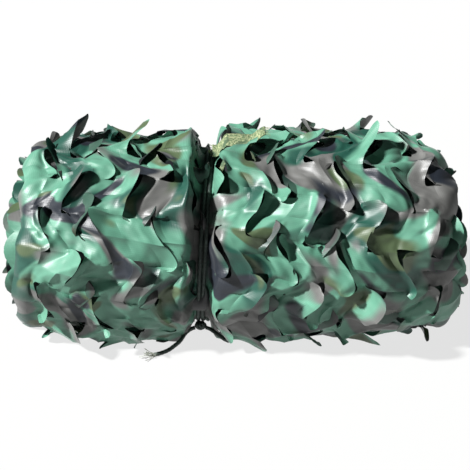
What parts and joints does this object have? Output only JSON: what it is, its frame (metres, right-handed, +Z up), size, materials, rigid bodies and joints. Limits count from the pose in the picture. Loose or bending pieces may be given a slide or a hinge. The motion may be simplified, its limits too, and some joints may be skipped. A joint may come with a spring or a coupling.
{
  "type": "rolled camouflage net",
  "caption": "Leaf-cut camouflage netting, folded lengthwise, rolled into a lying cylinder and tied round the middle with a doubled cord.",
  "frame": {"origin": "middle of the flat spot that the roll rests on", "axes": "+X along the roll to the right of the picture, +Y away from the viewer, +Z up"},
  "size_m": [0.558, 0.3003, 0.2479],
  "materials": {
    "leaf_cloth": "coated woven polyester with a woodland print, slightly glossy",
    "tie_cord": "dark green braided cord, matt",
    "edge_tape": "coarse woven tape, matt"
  },
  "bodies": {
    "root": {"net_roll": "leaf_cloth", "tie_strand_left": "tie_cord", "tie_strand_right": "tie_cord", "tie_knot": "tie_cord", "tie_free_end": "tie_cord", "tie_short_end": "tie_cord", "edge_tape": "edge_tape", "tape_tail": "edge_tape"}
  },
  "joints": []
}
